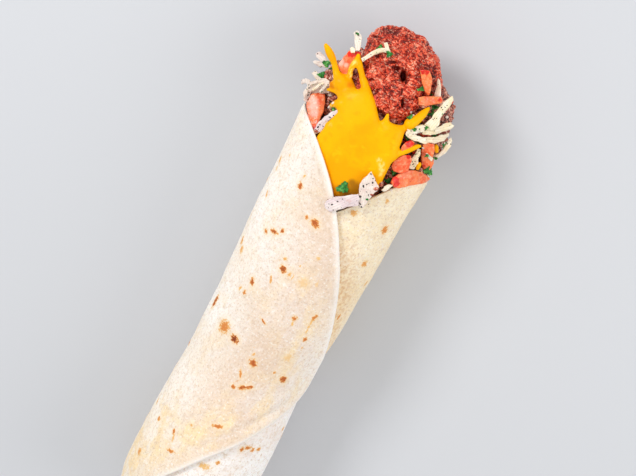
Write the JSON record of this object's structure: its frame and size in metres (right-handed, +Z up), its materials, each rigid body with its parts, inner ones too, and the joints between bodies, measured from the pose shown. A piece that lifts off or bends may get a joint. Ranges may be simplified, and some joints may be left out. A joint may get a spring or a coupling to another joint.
{
  "type": "durum wrap",
  "caption": "Rolled flatbread wrap, pinched shut at one end, with charred minced meat, cheese sauce, tomato, onion and parsley standing out of its open mouth.",
  "frame": {"origin": "on the flat strip of the underside, below the middle of the sleeve", "axes": "+X along the wrap towards its open mouth, +Y towards the side where the outer turn is unbroken, +Z up, away from the surface it rests on"},
  "size_m": [0.2494, 0.0661, 0.0608],
  "materials": {
    "flatbread": "soft floury baked flatbread with toasted spots",
    "minced_filling": "moist minced meat and salad",
    "charred_meat": "craggy grilled minced meat, moist and slightly glossy",
    "cheese_sauce": "thick glossy yellow cheese sauce",
    "tomato": "moist cut tomato with red skin at one end",
    "onion": "pale raw onion, slightly translucent, with black pepper"
  },
  "bodies": {
    "root": {"flatbread": "flatbread", "filling": "minced_filling", "meat_front": "charred_meat", "meat_back": "charred_meat", "cheese_sauce": "cheese_sauce", "tomato_left_wedge": "tomato", "tomato_top": "tomato", "tomato_right_upper": "tomato", "tomato_stick": "tomato", "tomato_small": "tomato", "tomato_upright": "tomato", "tomato_pink": "tomato", "tomato_front_wedge": "tomato", "onion_top": "onion", "onion_across": "onion", "onion_left_a": "onion", "onion_left_b": "onion", "onion_left_c": "onion", "onion_left_curl": "onion", "onion_left_clump": "onion", "onion_left_bed": "onion", "onion_wedge": "onion", "onion_tip": "onion", "onion_banana": "onion", "onion_hook": "onion", "onion_front": "onion", "onion_diamond": "onion", "onion_side": "onion", "onion_scrap": "onion", "onion_right_sliver": "onion"}
  },
  "joints": []
}
